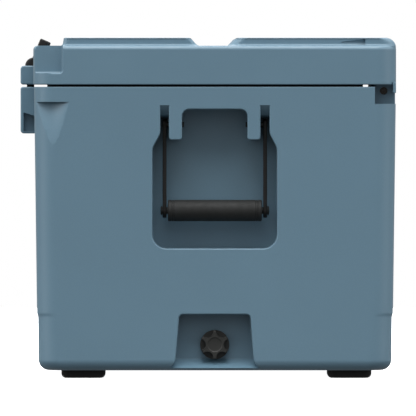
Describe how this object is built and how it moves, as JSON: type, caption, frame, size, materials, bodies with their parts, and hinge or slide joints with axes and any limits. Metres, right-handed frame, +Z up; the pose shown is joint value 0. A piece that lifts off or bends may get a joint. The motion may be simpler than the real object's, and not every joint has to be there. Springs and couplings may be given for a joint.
{
  "type": "wheeled cooler",
  "caption": "Hard-sided insulated cooler with a hinged lid, rubber T-latches, swing handles, a screw drain plug, rubber feet at one end and wheels at the other.",
  "frame": {"origin": "on the floor under the middle of the overall box, with the cooler standing on its feet and wheels and the lid shut", "axes": "+X towards the end with the drain and feet, -X towards the wheels, -Y towards the latches, +Y towards the lid hinge, +Z up"},
  "size_m": [0.711, 0.4367, 0.3954],
  "materials": {
    "shell_plastic": "satin moulded, slate blue",
    "liner_plastic": "smooth, pale grey",
    "foam": "rigid closed-cell foam, hidden",
    "rubber": "matt moulded",
    "grip_rubber": "soft matt",
    "black_plastic": "moulded, fine texture",
    "bush_plastic": "smooth acetal",
    "tyre": "solid rubber",
    "steel": "drawn stainless"
  },
  "bodies": {
    "tub": {"tub_shell": "shell_plastic", "tub_liner": "liner_plastic", "tub_foam": "foam", "hinge_pin": "steel", "latch_pin_wheel_end": "steel", "latch_pin_drain_end": "steel", "handle_pin_drain_end_front": "black_plastic", "handle_pin_drain_end_back": "black_plastic", "handle_pin_wheel_end_front": "black_plastic", "handle_pin_wheel_end_back": "black_plastic", "drain_fitting": "black_plastic", "drain_nut": "black_plastic", "foot_front": "rubber", "foot_back": "rubber", "axle": "steel", "axle_cap_front": "black_plastic", "axle_cap_back": "black_plastic"},
    "lid": {"lid_shell": "shell_plastic", "lid_liner": "liner_plastic", "lid_foam": "foam", "lid_gasket": "rubber"},
    "latch_wheel_end": {"latch_wheel_end": "rubber"},
    "latch_drain_end": {"latch_drain_end": "rubber"},
    "handle_drain_end": {"handle_arm_drain_end_front": "black_plastic", "handle_arm_drain_end_back": "black_plastic", "handle_rod_drain_end": "black_plastic", "handle_grip_drain_end": "grip_rubber"},
    "handle_wheel_end": {"handle_arm_wheel_end_front": "black_plastic", "handle_arm_wheel_end_back": "black_plastic", "handle_rod_wheel_end": "black_plastic", "handle_grip_wheel_end": "grip_rubber"},
    "drain_seal": {"drain_seal": "rubber"},
    "drain_knob": {"drain_knob": "black_plastic"},
    "wheel_front": {"tyre_front": "tyre", "hub_front": "black_plastic", "wheel_bush_front": "bush_plastic"},
    "wheel_back": {"tyre_back": "tyre", "hub_back": "black_plastic", "wheel_bush_back": "bush_plastic"}
  },
  "joints": [
    {"name": "lid_hinge", "type": "hinge", "parent": "tub", "child": "lid", "pos_m": [0, 0.2039, 0.3337], "axis": [-1, 0, 0], "range_deg": [0, 92]},
    {"name": "latch_wheel_end_turn", "type": "hinge", "parent": "tub", "child": "latch_wheel_end", "pos_m": [-0.205, -0.2084, 0.296], "axis": [1, 0, 0], "range_deg": [0, 140]},
    {"name": "latch_drain_end_turn", "type": "hinge", "parent": "tub", "child": "latch_drain_end", "pos_m": [0.205, -0.2084, 0.296], "axis": [1, 0, 0], "range_deg": [0, 140]},
    {"name": "handle_drain_end_swing", "type": "hinge", "parent": "tub", "child": "handle_drain_end", "pos_m": [0.3335, 0.0077, 0.2945], "axis": [0, -1, 0], "range_deg": [0, 105]},
    {"name": "handle_wheel_end_swing", "type": "hinge", "parent": "tub", "child": "handle_wheel_end", "pos_m": [-0.3335, 0.0077, 0.2945], "axis": [0, 1, 0], "range_deg": [0, 105]},
    {"name": "drain_slide", "type": "slide", "parent": "tub", "child": "drain_seal", "axis": [1, 0, 0], "range_m": [0, 0.0121]},
    {"name": "drain_turn", "type": "hinge", "parent": "drain_seal", "child": "drain_knob", "pos_m": [0.34, 0.0077, 0.039], "axis": [1, 0, 0], "range_deg": [0, 1440]},
    {"name": "wheel_front_spin", "type": "hinge", "parent": "tub", "child": "wheel_front", "pos_m": [-0.29, -0.14485, 0.06], "axis": [0, 1, 0], "continuous": true},
    {"name": "wheel_back_spin", "type": "hinge", "parent": "tub", "child": "wheel_back", "pos_m": [-0.29, 0.16415, 0.06], "axis": [0, 1, 0], "continuous": true}
  ],
  "couplings": [
    {"joint": "drain_slide", "follows": "drain_turn", "m_per_rad": 0.00047746}
  ]
}
